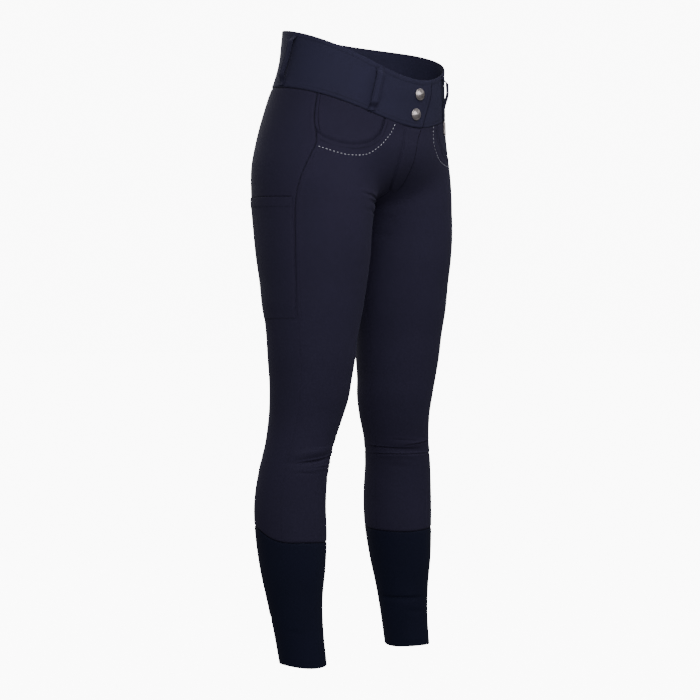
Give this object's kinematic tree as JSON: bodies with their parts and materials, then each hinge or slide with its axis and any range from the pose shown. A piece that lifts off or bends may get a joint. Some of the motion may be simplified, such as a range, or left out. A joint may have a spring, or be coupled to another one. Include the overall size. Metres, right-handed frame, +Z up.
{
  "type": "riding breeches",
  "caption": "Riding breeches worn and hollow, with a wide contoured waistband, snap closure, scooped front pockets, a thigh pocket and stretch ankle cuffs.",
  "frame": {"origin": "middle of the waist, level with the centre front of the waistband's top edge", "axes": "+Z up along the wearer's body, -Y towards the front, -X towards the wearer's right"},
  "size_m": [0.3521, 0.2742, 0.989],
  "materials": {
    "leg_cloth": "navy woven stretch cloth with a soft sheen",
    "band_cloth": "navy woven stretch cloth, doubled and topstitched",
    "cuff_knit": "smooth dark navy stretch knit",
    "snap_metal": "satin silver-grey cap"
  },
  "bodies": {
    "root": {"waistband_front_right": "band_cloth", "waistband_front_left": "band_cloth", "waistband_back": "band_cloth", "front_right": "leg_cloth", "front_left": "leg_cloth", "back_right": "leg_cloth", "back_left": "leg_cloth", "pocket_facing_right": "leg_cloth", "pocket_facing_left": "leg_cloth", "fly_placket": "leg_cloth", "thigh_pocket_right": "leg_cloth", "cuff_right": "cuff_knit", "cuff_left": "cuff_knit", "belt_loop_front_right": "band_cloth", "belt_loop_front_left": "band_cloth", "belt_loop_side_right": "band_cloth", "belt_loop_side_left": "band_cloth", "belt_loop_centre_back": "band_cloth", "snap_upper": "snap_metal", "snap_lower": "snap_metal", "hip_plate": "snap_metal"}
  },
  "joints": []
}
